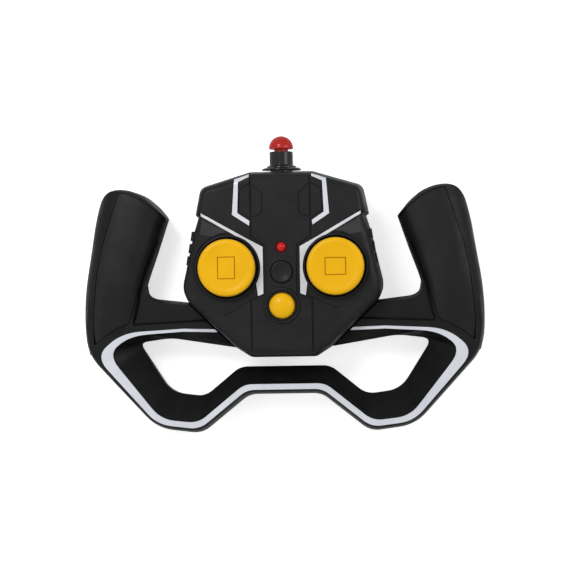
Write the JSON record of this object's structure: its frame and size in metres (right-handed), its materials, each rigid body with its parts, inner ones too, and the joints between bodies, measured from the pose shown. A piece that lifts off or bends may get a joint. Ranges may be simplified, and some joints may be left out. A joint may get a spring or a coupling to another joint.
{
  "type": "radio transmitter controller",
  "caption": "Wheel-shaped toy radio transmitter: two grips and a looped rim around a pod with two sprung thumb sticks, push buttons, a lamp and a stub aerial.",
  "frame": {"origin": "centre of the bounding box in X and Y, on the plane the transmitter lies on (its flat back)", "axes": "+Z out of the control face, +Y towards the aerial, +X towards the right grip as the holder sees it"},
  "size_m": [0.1992, 0.147, 0.0495],
  "materials": {
    "black": "satin moulded black plastic with a fine grain",
    "grain": "black grip plastic with a fine diagonal texture",
    "gloss_black": "polished black plastic",
    "silver_trim": "silver coated plastic trim",
    "yellow": "satin yellow plastic",
    "red_clear": "translucent red plastic",
    "steel": "bright zinc plated steel",
    "board": "green circuit board laminate",
    "nylon": "natural white nylon",
    "silicone": "grey silicone rubber",
    "cell_sleeve": "printed plastic sleeve, plain blue",
    "copper": "bare copper wire",
    "chip": "black moulded epoxy",
    "red_lead": "red wire insulation"
  },
  "bodies": {
    "housing": {"aerial_mount": "gloss_black", "aerial_tip": "red_clear", "aerial_wire": "copper", "battery_1": "cell_sleeve", "battery_2": "cell_sleeve", "battery_lead_black": "chip", "battery_lead_red": "red_lead", "capacitor": "cell_sleeve", "circuit_board": "board", "contact_bridge": "steel", "contact_minus": "steel", "contact_plus": "steel", "contact_spring_1": "steel", "contact_spring_2": "steel", "control_chip": "chip", "crystal": "steel", "fire_button_dome": "silicone", "left_flank_trim": "silver_trim", "left_grip_panel": "grain", "left_shoulder_trim": "silver_trim", "left_stick_axle": "steel", "left_stick_bracket": "nylon", "left_stick_dome_1": "silicone", "left_stick_dome_2": "silicone", "pod_cover": "black", "power_button_dome": "silicone", "rear_shell": "black", "right_flank_trim": "silver_trim", "right_grip_panel": "grain", "right_shoulder_trim": "silver_trim", "right_stick_axle": "steel", "right_stick_bracket": "nylon", "right_stick_dome_1": "silicone", "right_stick_dome_2": "silicone", "shell_screw_1": "steel", "shell_screw_10": "steel", "shell_screw_2": "steel", "shell_screw_3": "steel", "shell_screw_4": "steel", "shell_screw_5": "steel", "shell_screw_6": "steel", "shell_screw_7": "steel", "shell_screw_8": "steel", "shell_screw_9": "steel", "status_lamp": "red_clear", "wheel_front_shell": "black", "wheel_stripe": "silver_trim"},
    "left_stick": {"left_stick_cap": "yellow", "left_stick_post": "black"},
    "right_stick": {"right_stick_cap": "yellow", "right_stick_post": "black"},
    "fire_button": {"fire_button": "yellow"},
    "power_button": {"power_button": "gloss_black"},
    "battery_door": {"battery_door": "black", "door_screw": "steel"}
  },
  "joints": [
    {"name": "left_stick_tilt", "type": "hinge", "parent": "housing", "child": "left_stick", "pos_m": [-0.0263, 0.00859, 0.034], "axis": [1, 0, 0], "range_deg": [-10, 10], "stiffness_Nm_per_rad": 0.12, "deforming": ["left_stick_dome_1", "left_stick_dome_2"]},
    {"name": "right_stick_tilt", "type": "hinge", "parent": "housing", "child": "right_stick", "pos_m": [0.0263, 0.00859, 0.034], "axis": [0, 1, 0], "range_deg": [-10, 10], "stiffness_Nm_per_rad": 0.12, "deforming": ["right_stick_dome_1", "right_stick_dome_2"]},
    {"name": "fire_button_press", "type": "slide", "parent": "housing", "child": "fire_button", "axis": [0, 0, -1], "range_m": [0, 0.0018], "stiffness_N_per_m": 600, "deforming": ["fire_button_dome"]},
    {"name": "power_button_press", "type": "slide", "parent": "housing", "child": "power_button", "axis": [0, 0, -1], "range_m": [0, 0.0014], "stiffness_N_per_m": 600, "deforming": ["power_button_dome"]},
    {"name": "battery_door_swing", "type": "hinge", "parent": "housing", "child": "battery_door", "pos_m": [0, 0.02179, 0.0016], "axis": [1, 0, 0], "range_deg": [0, 90]}
  ]
}
